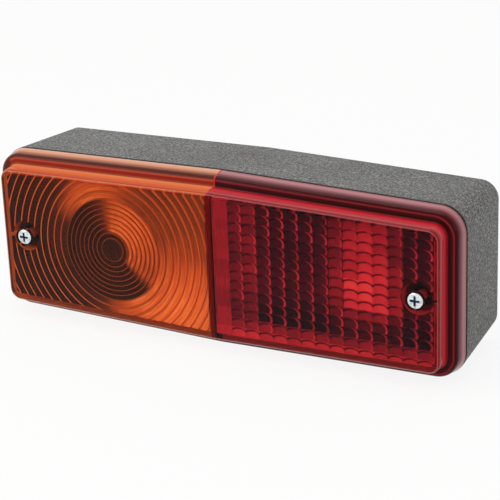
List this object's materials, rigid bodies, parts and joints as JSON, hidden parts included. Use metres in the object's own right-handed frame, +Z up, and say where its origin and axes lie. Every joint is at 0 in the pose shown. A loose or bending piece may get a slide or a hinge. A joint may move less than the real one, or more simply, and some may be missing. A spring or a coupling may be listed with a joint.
{
  "type": "tail light cluster",
  "caption": "Rectangular rear combination lamp: black moulded housing with amber ring-optic and red pillow-optic lenses, held by screws, with bulbs, holders and reflectors inside.",
  "frame": {"origin": "centre of the rear mounting face", "axes": "+X to the right along the length seen from the lens side, +Y out of the rear face, +Z up, lenses facing -Y"},
  "size_m": [0.19, 0.0512, 0.067],
  "materials": {
    "housing_plastic": "grained",
    "gasket_rubber": "matt",
    "amber_acrylic": "clear gloss",
    "red_acrylic": "clear gloss",
    "zinc_plated_screw": "bright zinc plated",
    "metallised_plastic": "bright metallised",
    "plated_sheet_steel": "plated",
    "hard_paper": "resin bonded",
    "contact_brass": "rolled",
    "cap_brass": "pressed",
    "bulb_glass": "clear",
    "tungsten": "drawn wire"
  },
  "bodies": {
    "root": {"housing": "housing_plastic", "lens_gasket": "gasket_rubber", "lens_amber": "amber_acrylic", "lens_red": "red_acrylic", "lens_screw_left": "zinc_plated_screw", "lens_screw_right": "zinc_plated_screw", "reflector_amber": "metallised_plastic", "reflector_red": "metallised_plastic", "reflector_screws": "zinc_plated_screw", "bulb_holder_amber": "plated_sheet_steel", "bulb_holder_red": "plated_sheet_steel", "holder_rivets": "plated_sheet_steel", "insulator_amber": "hard_paper", "insulator_red": "hard_paper", "contact_turn": "contact_brass", "contact_stop": "contact_brass", "contact_tail": "contact_brass", "earth_strip": "contact_brass", "bulb_cap_amber": "cap_brass", "bulb_cap_red": "cap_brass", "bulb_glass_amber": "bulb_glass", "bulb_glass_red": "bulb_glass", "filament_amber": "tungsten", "filament_red": "tungsten", "cable_grommet": "gasket_rubber"}
  },
  "joints": []
}
